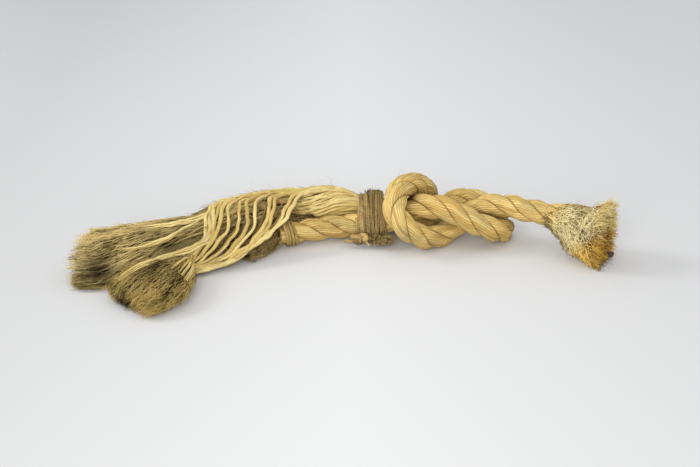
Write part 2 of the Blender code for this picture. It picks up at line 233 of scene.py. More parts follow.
def lengths_along(line):
    """How far along a line each of its rows lies: the distances between rows, summed."""
    return np.concatenate([[0.0], np.cumsum(np.linalg.norm(np.diff(line[:, :3], axis=0), axis=1))])


def rows_at(places, along, rows):
    """Rows read at places, straight between those given, which lie at along."""
    return np.stack([np.interp(places, along, column) for column in rows.T], axis=-1)


def smooth_line(points, step):
    """Rows evenly spaced on a smooth curve through the given rows: each span mixes straight lines through
    its four nearest rows, with knots the square roots of their distances apart.
    """
    rows = np.asarray(points, float)
    rows = np.vstack([2 * rows[0] - rows[1], rows, 2 * rows[-1] - rows[-2]])
    knots = np.concatenate([[0.0], np.cumsum(np.linalg.norm(np.diff(rows[:, :3], axis=0), axis=1) ** 0.5)])
    spans = len(rows) - 3
    near = [rows[i : spans + i, None] for i in range(4)]
    t = [knots[i : spans + i, None, None] for i in range(4)]
    u = t[1] + (t[2] - t[1]) * np.linspace(0, 1, 24, endpoint=False)[None, :, None]

    def between(start, end, i, j):
        """The straight way from start at knot i to end at knot j."""
        return (start * (t[j] - u) + end * (u - t[i])) / (t[j] - t[i])

    a, b, c = (between(near[i], near[i + 1], i, i + 1) for i in range(3))
    dense = between(between(a, b, 0, 2), between(b, c, 1, 3), 1, 2)
    dense = np.vstack([dense.reshape(-1, rows.shape[1]), rows[-2]])
    along = lengths_along(dense)
    return rows_at(np.linspace(0.0, along[-1], max(3, round(along[-1] / step) + 1)), along, dense)


def frames_along(line):
    """Unit vectors ahead, to the side and up along a line, turning no more than it does: a direction that
    it never takes is laid square to it, and its turn about the line, summed, is taken back.
    """
    ahead = unit(np.gradient(line, axis=0))
    count = np.arange(200)
    height = 1 - (count + 0.5) / 100
    turn = count * math.pi * (3 - 5**0.5)
    wide = np.sqrt(1 - height**2)
    tries = np.stack([wide * np.cos(turn), wide * np.sin(turn), height], axis=1)
    away = tries[np.abs(ahead @ tries.T).max(axis=0).argmin()]
    side = unit(away - (ahead @ away)[:, None] * ahead)
    up = np.cross(ahead, side)
    rate = (np.diff(side, axis=0) * (up[1:] + up[:-1]) / 2).sum(axis=1)
    turned = np.concatenate([[0.0], np.cumsum(rate)])[:, None]
    return ahead, np.cos(turned) * side - np.sin(turned) * up, np.sin(turned) * side + np.cos(turned) * up


def round_turn(count):
    """Angles evenly round one turn."""
    return math.tau * np.arange(count) / count


def spokes(angles, side, up):
    """Directions square to a line at each of its places: an angle's cosine to the side, its sine up."""
    return np.cos(angles)[..., None] * side[..., None, :] + np.sin(angles)[..., None] * up[..., None, :]


def wave_noise(rng, shape, along, length, waves=5):
    """Smooth noise from about -1 to 1: sines from one to three lengths long, at random phases, summed."""
    total = np.zeros((*shape, len(along)))
    for wave in range(waves):
        phase = rng.uniform(0, math.tau, (*shape, 1))
        stretch = length * rng.uniform(1.0, 3.0, (*shape, 1))
        total += np.sin(math.tau * along / stretch + phase)
    return total / waves**0.5 / 1.2


def closed_tubes(rings, **looks):
    """A mesh part of closed tubes, kept above the table. rings holds tubes, rings, corners and places in
    millimetres; looks hold one value, or three, for each corner. Faces join each ring to the next, and a
    fan from a ring's middle closes each end.
    """
    rings[..., 2] = rings[..., 2].clip(0)
    tubes, count, corners = rings.shape[:3]

    def flat(values):
        """Values in the order of the vertices: all rings' corners, then the two ends' middles."""
        values = np.broadcast_to(values, rings.shape[:3] + values.shape[3:])
        ends = values[:, [0, -1]].mean(axis=2)
        return np.concatenate([values.reshape(tubes, count * corners, *values.shape[3:]), ends], axis=1)

    corner = np.arange(corners)
    after = (corner + 1) % corners
    ring = np.arange(count - 1)[:, None] * corners
    near, on = ring + corner, ring + after
    quads = np.stack([near, on, on + corners, near + corners], axis=-1)
    last = (count - 1) * corners
    first_end = np.full(corners, count * corners)
    caps = np.concatenate([
        np.stack([first_end, after, corner], axis=-1),
        np.stack([first_end + 1, last + corner, last + after], axis=-1),
    ])
    start = np.arange(tubes)[:, None, None] * (count * corners + 2)
    places = flat(rings).reshape(-1, 3)
    looks = {name: flat(value).reshape(len(places), -1) for name, value in looks.items()}
    quads, caps = (quads.reshape(1, -1, 4) + start).reshape(-1, 4), (caps[None] + start).reshape(-1, 3)
    return places, quads, caps, looks


def new_piece(name, parts, material):
    """An object at the origin from mesh parts: their vertices, four-sided faces, three-sided faces and
    looks, which become attributes of the vertices.
    """
    places = np.concatenate([part[0] for part in parts])
    starts = np.cumsum([0] + [len(part[0]) for part in parts[:-1]])
    quads = np.concatenate([part[1] + start for part, start in zip(parts, starts)])
    fans = np.concatenate([part[2] + start for part, start in zip(parts, starts)])
    mesh = bpy.data.meshes.new(name)
    mesh.vertices.add(len(places))
    mesh.vertices.foreach_set("co", in_metres(places).astype(np.float32).ravel())
    corners = np.concatenate([quads.ravel(), fans.ravel()])
    mesh.loops.add(len(corners))
    mesh.loops.foreach_set("vertex_index", corners.astype(np.int32))
    first = np.concatenate([np.arange(len(quads)) * 4, len(quads) * 4 + np.arange(len(fans)) * 3])
    mesh.polygons.add(len(first))
    mesh.polygons.foreach_set("loop_start", first.astype(np.int32))
    mesh.update(calc_edges=True)
    for look in set.intersection(*(set(part[3]) for part in parts)):
        values = np.concatenate([part[3][look] for part in parts]).astype(np.float32)
        kind, field = ("FLOAT", "value") if values.shape[1] == 1 else ("FLOAT_VECTOR", "vector")
        mesh.attributes.new(look, kind, "POINT").data.foreach_set(field, values.ravel())
    mesh.validate()
    mesh.shade_smooth()
    mesh.materials.append(material)
    item = bpy.data.objects.new(name, mesh)
    bpy.context.scene.collection.objects.link(item)
    return item


def near_spots(places, spots):
    """What places take from spots of (x, y, z, reach, strength): each spot's strength times a bell curve of
    the distance over its reach, summed.
    """
    spots = np.array(spots, float).reshape(-1, 5)
    away = np.linalg.norm(places[..., None, :] - spots[:, :3], axis=-1)
    return (spots[:, 4] * np.exp(-((away / spots[:, 3]) ** 2))).sum(axis=-1)


def laid_rope(route, settled, squeezed, spots, seed):
    """Three strands along a route, and the route's own line. Strand k lies at k thirds of a turn, plus one
    turn in each lay length, plus what the lay has shifted. Its outline is the softened meeting of its
    round crown and the two planes where it presses on its neighbours, with scalloped yarns on top, which
    turn the other way. Where the whipping grips it, the whole is squeezed.
    """
    rng = np.random.default_rng(seed)
    line = smooth_line(route, ROPE_STEP)
    ahead, side, up = frames_along(line)
    along = np.arange(len(line)) * np.linalg.norm(line[1] - line[0])
    strand = np.arange(3)[:, None, None]
    shifted = np.interp(along, *np.transpose(settled))
    lay = (shifted + math.tau * along / LAY_LENGTH)[None, :, None] + math.tau * strand / 3
    sides = STRAND_YARNS * YARN_SIDES
    around = round_turn(sides)
    turn = around[None, None, :] - (math.tau * along / YARN_TURN)[None, :, None] + strand * 0.7

    # Distance from the strand's middle to its crown, and to each pressed plane.
    offset = STRAND_MIDDLE - (ROPE_RADIUS - STRAND_CROWN)
    crown = -offset * np.cos(turn) + np.sqrt(STRAND_CROWN**2 - (offset * np.sin(turn)) ** 2)
    reach = crown**-SOFTNESS
    for bearing in (PRESSED_AT, -PRESSED_AT):
        pressed = np.cos(turn - bearing).clip(0.02)
        reach = reach + (STRAND_MIDDLE * math.sin(math.pi / 3) / pressed) ** -SOFTNESS
    reach = reach ** (-1 / SOFTNESS)

    yarn = np.arange(sides) // YARN_SIDES
    proud = YARN_PROUD * wave_noise(rng, (3, STRAND_YARNS), along, 9.0)[:, yarn].transpose(0, 2, 1)
    scallop = np.abs(np.sin(STRAND_YARNS * around / 2)) ** 0.8
    out = np.hypot(STRAND_MIDDLE + reach * np.cos(turn), reach * np.sin(turn))
    face = ((out - FACE_FROM) / FACE_OVER).clip(0.1, 1)
    reach = reach + face * (YARN_RELIEF * (scallop - 0.85) + proud * (0.3 + 0.7 * scallop))
    squeeze = np.interp(along, *np.transpose(squeezed))[None, :, None]
    local = squeeze * (STRAND_MIDDLE + reach * np.cos(turn)), squeeze * reach * np.sin(turn)
    outward, across = spokes(lay, side, up), spokes(lay + math.pi / 2, side, up)
    rings = line[None, :, None] + local[0][..., None] * outward + local[1][..., None] * across
    rings[..., 2] = rings[..., 2].clip(0)
    out = np.hypot(*local) / squeeze
    # the grooves and the knot's spots are painted darker: dirt, and shade
    caked = (0.6 + 0.5 * wave_noise(rng, (3,), along, 18.0)).clip(0.15, 1)[..., None]
    dirt = caked * ((GROOVE_BELOW - out) / GROOVE_OVER).clip(0, 1) + near_spots(rings, spots)
    tone = rng.uniform(0, 1, (3, STRAND_YARNS))[:, yarn][:, None, :]
    laid = np.stack(np.broadcast_arrays(
        STREAK_RADIUS * np.cos(around) + STREAK_APART * strand, STREAK_RADIUS * np.sin(around),
        along[:, None] + 0 * turn,
    ), axis=-1)
    return closed_tubes(rings, hollow=1 - scallop[None, None], groove=dirt, tone=tone, laid=laid), line


def attribute(tree, name, output="Fac"):
    """What the piece's attribute of this name says."""
    return add_node(tree, "Attribute", attribute_name=name).outputs[output]


def noise(tree, place, scale, detail, roughness=0.5):
    """Cloudy noise from 0 to 1 over the place."""
    inputs = {"Vector": place, "Scale": scale, "Detail": detail, "Roughness": roughness}
    return add_node(tree, "TexNoise", inputs).outputs["Fac"]


def maths(tree, kind, operation, *values, **settings):
    """What a Math or VectorMath node makes of the values."""
    return add_node(tree, kind, dict(enumerate(values)), operation=operation, **settings).outputs[0]


def plant_fibre(name, pale, straw, dark, dirt, weather, tan, bump=0.3, weathered=0.35):
    """A finish for laid or twisted fibre. Fine streaks follow laid, the fibre's own straight frame in
    millimetres; yarns differ by tone; hollows and grooves darken towards the dirt colour, for dirt and
    painted shade; soft patches of weather and tan lie over the whole, and faces that look down darken
    towards the dirt colour as painted shade.
    """
    material, tree, shader = new_material(name, 0.78, 0.25)
    laid = attribute(tree, "laid", "Vector")
    streak = noise(tree, maths(tree, "VectorMath", "MULTIPLY", laid, (3.2, 3.2, 0.13)), 1.0, 4.0, 0.65)
    band = noise(tree, maths(tree, "VectorMath", "MULTIPLY", laid, (0.5, 0.5, 0.035)), 1.0, 2.0)
    place = object_place(tree)
    patch = noise(tree, place, 38.0, 3.0, 0.6)
    stain = noise(tree, maths(tree, "VectorMath", "ADD", place, (0.37, 0.11, 0.23)), 24.0, 2.0)

    toned = maths(tree, "Math", "MULTIPLY_ADD", attribute(tree, "tone"), 0.28, streak)
    toned = maths(tree, "Math", "MULTIPLY_ADD", band, 0.35, toned)
    base = ramp(tree, toned, (0.58, *dark), (0.80, *straw), (1.02, *pale))
    base = mixed(tree, ranged(tree, patch, 0.5, 0.72, weathered), base, paint(*weather))
    base = mixed(tree, ranged(tree, stain, 0.52, 0.75, 0.45), base, paint(*tan))
    # painted shade: faces that look down are darkened towards the dirt colour
    downward_shade = add_node(tree, "SeparateXYZ", {"Vector": add_node(tree, "NewGeometry").outputs["Normal"]})
    base = mixed(tree, ranged(tree, downward_shade.outputs["Z"], 0.45, -0.8, 0.4), base, paint(*dirt))
    # valleys between yarns and plies, and grooves, darken towards the dirt colour: dirt, and painted shade
    held = maths(tree, "Math", "MULTIPLY_ADD", attribute(tree, "hollow"), 0.4, attribute(tree, "groove"))
    held = maths(tree, "Math", "MULTIPLY", held, 0.9, use_clamp=True)
    tree.links.new(mixed(tree, held, base, paint(*dirt)), shader.inputs["Base Color"])
    relief = add_node(tree, "Bump", {"Height": streak, "Strength": bump, "Distance": 0.0006})
    tree.links.new(relief.outputs["Normal"], shader.inputs["Normal"])
    return material


# the dirt colour also paints the shade in hollows, grooves and on faces that look down
rope_look = plant_fibre(
    "manila_rope", pale=(255, 226, 148), straw=(232, 198, 118), dark=(184, 150, 76),
    dirt=(92, 62, 24), weather=(158, 150, 110), tan=(226, 170, 82), bump=0.35, weathered=0.5,
)
standing_part, standing_line = laid_rope(STANDING_ROUTE, STANDING_SET, STANDING_SQUEEZE, KNOT_DIRT_AND_SHADE, 1)
standing = new_piece("standing_strands", [standing_part], rope_look)
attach(standing, "root")
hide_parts("standing_rope")

bight_part, bight_line = laid_rope(BIGHT_ROUTE, BIGHT_SET, BIGHT_SQUEEZE, KNOT_DIRT_AND_SHADE, 2)
bight = new_piece("bight_strands", [bight_part], rope_look)
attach(bight, "root")
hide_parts("bight_rope")


# ==== Unlaid yarns ====
# Left of the whipping two legs are unlaid: their yarns, 3 to 4 mm thick and still kinked from the
# lay, run together over a matted heart, painted dark for the shade inside the bundle. One after
# another the front ones leave the crest, slant down over the front and gather where the front brush
# starts.

YARN_BUNDLE = [
    (11.4, 40.2, 21.2, 22, 11, -41), (6, 40.2, 21.3, 22, 11.5, -41), (-3, 38.8, 24, 22, 13, -38),
    (-15, 35, 29, 20.5, 15, -30), (-30, 30, 32.5, 19, 16.3, -12), (-45, 25, 32.7, 18, 15, 0),
    (-60, 23, 34.6, 18, 13.6, 0), (-75, 15.5, 35.5, 18.5, 14.2, 0), (-90, 5.5, 34.6, 20, 16, 0),
    (-110, -5, 34, 20, 16.5, 5), (-130, -16, 32, 19.5, 15.5, 8), (-151, -29.5, 29, 17.5, 10.7, 10),
]  # middle x, y, z; half width, half height; roll in degrees
FRONT_BRUSH = [
    (-146, -66, 12.5, 7, 7, 0), (-157, -79, 13.5, 12.5, 11, 0), (-166.5, -94, 14, 23, 14.5, 0),
    (-178, -110.5, 13.5, 34.5, 15.5, 0), (-190, -126.5, 11.5, 35, 14, 0),
    (-199, -138.5, 8.5, 30.5, 10, 0), (-204, -144.5, 6, 24, 7, 0),
]
FIRST_LOCK = [(-50, 13, 50), (-60, -9, 45), (-69, -25, 33.5), (-84, -38, 25), (-99, -50, 15.5),
              (-116, -61, 8.5), (-135, -70, 6.5), (-151, -78, 7)]
LAST_LOCK = [(-132, -20, 50), (-135, -38, 45), (-136, -47, 36), (-140, -52, 28), (-147, -58, 23),
             (-151, -64, 19), (-153, -70, 17), (-153, -77, 16)]
# a matted mass under the hanging yarns, painted dark by mass_heart as the shade there
CURTAIN_HEART = [
    (-36, 13, 25, 9, 6, 0), (-56, 8, 25, 9, 7, 0), (-76, 0, 25, 10, 8, 0), (-96, -16, 22, 11, 8, 0),
    (-118, -29, 19, 11, 8, 0), (-138, -40, 15, 10, 8, 0), (-156, -56, 11, 8, 6, 0),
]
# Each lock between those two: its share of the way from first to last at the crest, half way down
# and at the gather; the turn at which it runs on the bundle; and how many yarns it has.
LOCKS = [
    (-0.04, 0.00, 0.00, 128, 1), (0.03, 0.02, 0.04, 122, 1), (0.26, 0.06, 0.04, 112, 1),
    (0.33, 0.12, 0.12, 104, 1), (0.51, 0.28, 0.30, 108, 1), (0.60, 0.38, 0.24, 100, 1),
    (0.70, 0.54, 0.44, 94, 1), (0.81, 0.72, 0.58, 90, 1), (0.89, 0.86, 0.74, 86, 1),
    (0.96, 0.97, 0.90, 82, 2), (1.03, 1.04, 1.06, 76, 2),
]
LOCK_SPREAD = 3.8  # between the yarns of one lock
LOCK_SWING = (24, -6)  # degrees about the bundle, from where a lock sets out to where it leaves the crest
LOCK_SPACING = -15.0  # between a lock's places on the bundle
YARN_RADIUS = 2.05
YARN_TWIST = 24  # length of one turn of a yarn's own fibres
DULL_FROM_X, DULL_OVER = -45, 30  # left of this the yarns take on their second degree of darkening: dirt, and painted shade where the curtain hangs over them
INNER_YARNS = 15
CROSSING_YARNS = 34
BACK_YARNS = 48
BACK_YARN_RADIUS = 1.6


def mass_frames(sections):
    """Middle, half-width and half-height vectors at each millimetre of a soft mass: the width is level and
    square to the middle line, the height square to both, and both roll about the line.
    """
    rows = smooth_line(sections, 1.0)
    ahead = unit(np.gradient(rows[:, :3], axis=0))
    side = unit(np.cross(ahead, (0.0, 0.0, 1.0)))
    side *= np.where(side[:, 1:2] < 0, -1.0, 1.0)
    above = np.cross(side, ahead)
    above *= np.where(above[:, 2:] < 0, -1.0, 1.0)
    roll = np.radians(rows[:, 5:6])
    wide = (side * np.cos(roll) + above * np.sin(roll)) * rows[:, 3:4]
    tall = (above * np.cos(roll) - side * np.sin(roll)) * rows[:, 4:5]
    return np.concatenate([rows[:, :3], wide, tall], axis=1)


def in_mass(frames, far, turn, depth):
    """Places in a soft mass: far from 0 to 1 along it, turned about its middle line, and deep from 0 at
    that line to 1 at the skin. Beyond its ends the mass goes straight on.
    """
    far, turn, depth = np.broadcast_arrays(*(np.asarray(each, float) for each in (far, turn, depth)))
    last = len(frames) - 1
    inside = far.clip(0, 1)
    middle, wide, tall = np.split(rows_at(inside * last, np.arange(last + 1), frames), 3, axis=-1)
    on = unit(frames[-1, :3] - frames[-6, :3])
    back = unit(frames[5, :3] - frames[0, :3])
    beyond = ((far - inside) * last)[..., None]
    middle = middle + np.where(beyond > 0, on, back) * beyond
    return middle + depth[..., None] * (np.cos(turn)[..., None] * wide + np.sin(turn)[..., None] * tall)


def yarn_tubes(routes, radius, rng, grime, rings=64, sides=10, taper=0.0, palest=0.0):
    """Twisted yarns along routes, which wander by up to half a radius. Each outline is a circle with three
    flutes that turn with the twist; its size drifts, and falls to a point over the taper's share of its
    end. grime holds how much each is darkened near the whipping and beyond it: dirt, and painted shade
    for the yarns under the curtain.
    """
    parts = []
    share = np.linspace(0, 1, rings)
    around = round_turn(sides)
    for index, (route, size, (bright, dull)) in enumerate(zip(routes, radius, grime)):
        line = smooth_line(route, 1.0)
        line = rows_at(share, np.linspace(0, 1, len(line)), line)
        along = lengths_along(line)
        held = np.sin(np.linspace(0.05, 1, rings) * math.pi)[:, None]
        line = line + 0.5 * size * wave_noise(rng, (3,), along, 14.0, 4).T * held
        ahead, side, up = frames_along(line)
        twist = around[None] + math.tau * along[:, None] / YARN_TWIST
        flute = np.abs(np.cos(1.5 * twist))
        thin = size * (1 + 0.13 * wave_noise(rng, (1,), along, 16.0)[0])[:, None] * (0.84 + 0.2 * flute)
        if taper:
            thin = thin * ((1 - along / along[-1]) / taper).clip(0.06, 1)[:, None] ** 0.6
        ring = line[:, None] + thin[..., None] * spokes(around, side, up)
        dirt = bright + (dull - bright) * ((DULL_FROM_X - line[:, 0]) / DULL_OVER).clip(0, 1)
        tone = rng.uniform(palest - 0.4, 1 + palest, (1, 1, 1))
        laid = [size * np.cos(twist) + 7.3 * index, size * np.sin(twist), 0 * twist + along[:, None]]
        parts.append(closed_tubes(
            ring[None], hollow=(1 - flute)[None] * 0.5, groove=dirt[None, :, None], tone=tone,
            laid=np.stack(laid, axis=-1)[None],
        ))
    return parts


def thin_fibres(lines, radius, rng, **looks):
    """Three-sided fibres along many lines at once, each thinning to a third at its end. Looks hold one
    value for each fibre, or one for each place on each.
    """
    ahead = unit(np.gradient(lines, axis=1))
    away = unit(np.cross(ahead.mean(axis=1), rng.normal(size=(len(lines), 3))))[:, None]
    side = unit(np.cross(ahead, away))
    along = np.linspace(0, 1, lines.shape[1])
    size = radius[:, None] * (1 - 0.7 * along**2)
    out = spokes(round_turn(3), side, np.cross(ahead, side))
    looks = {name: value.reshape(len(lines), -1, 1, *value.shape[2:]) for name, value in looks.items()}
    return closed_tubes(lines[:, :, None] + size[:, :, None, None] * out, tip=along[None, :, None], **looks)


def fray_look(name, pale, straw, dark, root, warm=None, warm_way=None, warm_below=0.0):
    """A finish for loose fibre: each takes its colour by tone, darkens towards the root colour by deep, a
    painted shade towards the heart, and pales at its tip; soft patches shift whole tufts. A warm colour
    tints what is below a value along warm_way.
    """
    material, tree, shader = new_material(name, 0.82, 0.2)
    place = object_place(tree)
    patch = noise(tree, place, 55.0, 3.0)
    fac = maths(tree, "Math", "MULTIPLY_ADD", attribute(tree, "tone"), 0.7, patch)
    fac = maths(tree, "Math", "MULTIPLY_ADD", attribute(tree, "tip"), 0.26, fac)
    base = ramp(tree, fac, (0.60, *dark), (0.88, *straw), (1.14, *pale))
    if warm:
        height = add_node(tree, "VectorMath", {0: place, 1: warm_way}, operation="DOT_PRODUCT")
        height = maths(tree, "Math", "MULTIPLY_ADD", patch, 0.02, height.outputs["Value"])
        low = ranged(tree, height, warm_below + 0.016, warm_below + 0.004)
        base = mixed(tree, low, base, paint(*warm), "MULTIPLY")
    base = mixed(tree, attribute(tree, "deep"), base, paint(*root))
    tree.links.new(base, shader.inputs["Base Color"])
    return material


def mass_heart(frames, shrink, rng, dark=1.0, begin=0.0, end=0.98, sides=28):
    """The matted heart of a soft mass: its outline drawn in, with soft lumps, and closed at both ends. It
    is painted dark by dark, as the shade inside the mass.
    """
    far = np.linspace(begin, end, max(8, len(frames) // 3))[:, None]
    turn = round_turn(sides)[None]
    lumps = sum(
        math.sin(rng.uniform(0, 6)) * np.sin(turn * n + far * rng.uniform(4, 30) + rng.uniform(0, 6))
        for n in (2, 3, 5, 7)
    )
    close = np.minimum(1, np.minimum(far - begin, end - far) * 14 + 0.35)
    rings = in_mass(frames, far, turn, shrink * close * (1 + 0.015 * lumps))
    ahead = rings[1].mean(axis=0) - rings[0].mean(axis=0)
    if np.dot(np.cross(rings[0, 1] - rings[0, 0], rings[0, 2] - rings[0, 1]), ahead) < 0:
        rings = rings[:, ::-1]
    one = np.ones((1, 1, 1))
    return closed_tubes(rings[None], tone=0 * one, tip=0 * one, deep=dark * one)


rng = np.random.default_rng(11)
bundle = mass_frames(YARN_BUNDLE)
front_mass = mass_frames(FRONT_BRUSH)
first, last = np.array(FIRST_LOCK, float), np.array(LAST_LOCK, float)
points = len(first)
place_in_lock = np.arange(points)
lock_routes = []
for crest, middle, gather, bearing, count in LOCKS:
    share = np.interp(place_in_lock, [0, (points - 1) / 2, points - 1], [crest, middle, gather])[:, None]
    hang = first + (last - first) * share
    start = np.arange(9, hang[0, 0] + 16, LOCK_SPACING)
    swing = bearing + np.linspace(*LOCK_SWING, len(start))
    far = np.interp(-start, -bundle[:, 0], np.linspace(0, 1, len(bundle)))
    for each in range(count):
        spread = (each - (count - 1) / 2) * LOCK_SPREAD
        turn = np.radians(swing + spread * 2.2 + rng.uniform(-5, 5))
        depth = np.linspace(0.92, 1.03, len(start)) + rng.uniform(-0.02, 0.02)
        run = in_mass(bundle, far, turn, depth)
        aside = np.array([spread, spread * 0.5, 0]) * np.linspace(1, 0.75, points)[:, None]
        path = hang + aside + rng.uniform(-0.8, 0.8, hang.shape)
        turn = rng.uniform(0.6, 1.25) * math.pi
        into = in_mass(front_mass, [0.2, 0.32, 0.5], turn, [0.95, 1.06, 1.02])
        lock_routes.append(np.concatenate([run, path, into]))
lock_lines = [smooth_line(route[-11:-3], 1.5) for route in lock_routes]
sizes = YARN_RADIUS * rng.uniform(0.78, 1.12, len(lock_routes))
locks = yarn_tubes(lock_routes, sizes, rng, [(0, 0)] * len(sizes), rings=90, taper=0.25, palest=0.4)

back_routes, back_dirt_and_shade = [], []
for each in range(BACK_YARNS):
    bearing = 10 + 340 * (each + rng.uniform(-0.3, 0.3)) / BACK_YARNS
    swing = np.radians(bearing + np.cumsum(rng.uniform(-7, 7, 12)))
    depth = 0.91 + rng.uniform(-0.05, 0.05, 12)
    back_routes.append(in_mass(bundle, np.linspace(0.005, 1.0, 12), swing, depth))
    # dirt, and painted shade: the top and front yarns darken where the curtain hangs over them
    back_dirt_and_shade.append((0.0, rng.uniform(0.2, 0.95)) if 35 < bearing < 235 else (0.05, 0.5))
sizes = BACK_YARN_RADIUS * rng.uniform(0.75, 1.2, BACK_YARNS)
back = yarn_tubes(back_routes, sizes, rng, back_dirt_and_shade, rings=60, sides=8, palest=0.4)

inner_routes = []
for each in range(INNER_YARNS):
    share = (each + rng.uniform(0, 1)) / INNER_YARNS * np.linspace(1.0, 0.9, points)
    behind = np.array([[2, rng.uniform(6, 10), -rng.uniform(2, 6)]])
    behind = behind * np.interp(place_in_lock, [0, 3, 7], [1, 1, 0.6])[:, None]
    hang = first + (last - first) * share[:, None]
    inner_routes.append(hang + behind + rng.uniform(-2.5, 2.5, hang.shape))
sizes = YARN_RADIUS * rng.uniform(0.35, 0.85, INNER_YARNS)
# painted shade: the inner yarns, behind the curtain, are darkened all along, with some dirt
grime = [(0.6, rng.uniform(0.1, 0.9)) for _ in inner_routes]
inner = yarn_tubes(inner_routes, sizes, rng, grime, rings=44)

crossing_routes = []
for each in range(CROSSING_YARNS):
    x, low = rng.uniform(-160, -128), rng.uniform(-50, -34)
    start = (x + 8, low + 8, rng.uniform(30, 44))
    end = (x - rng.uniform(8, 30), low - rng.uniform(-4, 22), rng.uniform(28, 40))
    middle = (np.array(start) + end) / 2 + rng.uniform(-3, 3, 3) + (0, 0, 2)
    crossing_routes.append([start, middle, end])
sizes = rng.uniform(0.2, 0.5, CROSSING_YARNS)
grime = [(0, rng.uniform(0.0, 0.45)) for _ in crossing_routes]
crossing = yarn_tubes(crossing_routes, sizes, rng, grime, rings=30, sides=6, taper=0.3)

# the dirt colour also paints the shade in hollows, grooves and on faces that look down
yarn_finish = plant_fibre(
    "unlaid_yarn", pale=(255, 234, 162), straw=(234, 206, 126), dark=(184, 154, 84),
    dirt=(84, 62, 30), weather=(170, 160, 118), tan=(212, 170, 92), weathered=0.3,
)
yarns = new_piece("unlaid_yarns_loose", locks + back + inner + crossing, yarn_finish)
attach(yarns, "root")
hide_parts("unlaid_yarns")


def layered_fibres(
    frames, count, rng, start, reach, depth, lift=0.05, pull=0.5, curl=0.8, radius=0.3, points=5,
    bins=(30, 7), ragged=0.0, dark=0.6, pale_root=0.0, stains_and_shade=(), bright=(), overhang=None,
):
    """Short fibres laid over each other through a soft mass. Each follows the mass from its own start for
    its reach, lifts from the skin by lift, leans towards the middle of its tuft by pull, and wanders by
    curl. Tufts share a tone, and end unevenly by ragged. Those deep in the mass and near their roots are
    darker by dark, a painted shade; the dark spots darken those near them, with dirt marks and painted
    shade, and bright spots pale them; overhang is how far beyond the mass's end those at each turn may
    reach.
    """
    tufts = rng.uniform(0, 1, (4, *bins))
    far0 = rng.uniform(*start, count)
    turn0 = rng.uniform(0, math.tau, count)
    share = turn0 / (math.tau)
    which = (share * bins[0]).astype(int), (far0.clip(0, 0.999) * bins[1]).astype(int)
    along = np.linspace(0, 1, points)[None]
    long = rng.uniform(*reach, count)
    stop = 1.0 + ragged * (tufts[1][which] - 0.75) * 0.2 + rng.uniform(-0.02, 0.015, count)
    if overhang is not None:
        stop = stop + overhang[(share * len(overhang)).astype(int)]
    far = np.minimum(far0 + long, stop)[:, None] * along + far0[:, None] * (1 - along)
    aim = math.tau * (which[0] + tufts[2][which]) / bins[0]
    turn = turn0[:, None] + pull * (aim - turn0)[:, None] * along**1.5
    deep = rng.uniform(*depth, count) ** 0.8
    rise = lift * (2 * tufts[3][which] + rng.uniform(-0.6, 0.8, count))[:, None]
    lines = in_mass(frames, far, turn, deep[:, None] * (1 + rise * along))
    bend = rng.normal(size=(count, 1, 3)) * along[..., None] ** 2
    bend = bend + 0.6 * rng.normal(size=(count, 1, 3)) * np.sin(3.1 * along)[..., None]
    lines = lines + curl * bend + 0.25 * curl * rng.normal(size=lines.shape)
    tone = 0.55 * tufts[0][which] + 0.45 * rng.uniform(0, 1, count)
    tone = tone + pale_root * (1 - far0 / 0.6).clip(0, 1) + near_spots(lines[:, points // 2], bright)
    # painted shade: fibres deeper in the mass are darker, most at their roots
    shade = dark * ((0.93 - deep) / 0.35).clip(0, 1)[:, None] * (1 - 0.5 * along)
    shade = shade + near_spots(lines, stains_and_shade)
    return thin_fibres(lines, radius * rng.uniform(0.6, 1.3, count), rng, tone=tone, deep=shade)


heart_look = fray_look(
    "matted_heart", pale=(176, 152, 96), straw=(136, 112, 62), dark=(92, 70, 34), root=(74, 54, 26),
)
curtain_mass = mass_frames(CURTAIN_HEART)
heart = new_piece("yarn_heart", [
    mass_heart(bundle, 0.86, rng),
    layered_fibres(
        bundle, 900, rng, (0.3, 0.95), (0.05, 0.14), (0.82, 1.0), lift=0.07, curl=1.8, radius=0.28,
    ),
    mass_heart(curtain_mass, 0.7, rng),
    layered_fibres(curtain_mass, 900, rng, (0, 0.9), (0.1, 0.4), (0.6, 1.0), lift=0.1, pull=0.0, curl=4.0),
], heart_look)
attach(heart, "root")


# ==== Front and rear brushes, and the tail's brush ====
# The yarns' ends have come apart into single fibres, matted by age into fans like old paint brushes:
# olive brown on the outside, painted dark between the tufts and towards the heart as their shade, straw
# yellow where a tuft has split lately.

REAR_BRUSH = [
    (-149, -28.5, 29, 17, 11, 10), (-170, -40, 27.5, 19.5, 13.5, 14), (-190, -51, 26.5, 23, 15, 18),
    (-210, -60.5, 24, 27, 15.5, 22), (-229, -68, 20, 31, 15.5, 24), (-246, -73, 17, 33, 14.5, 24),
    (-257, -71, 16, 30, 14, 24), (-264.5, -70, 15, 24, 11.5, 24),
]
TAIL_BRUSH = [
    (-73, -7.5, 13.8, 11, 11, 0), (-77.5, -9.4, 13.4, 11.5, 11.3, 0), (-83, -13.5, 12, 12.3, 11, 0),
    (-90, -22, 10, 13, 10, 0), (-99, -33, 9, 12, 9, 0), (-104, -41, 7, 9, 7, 0),
]
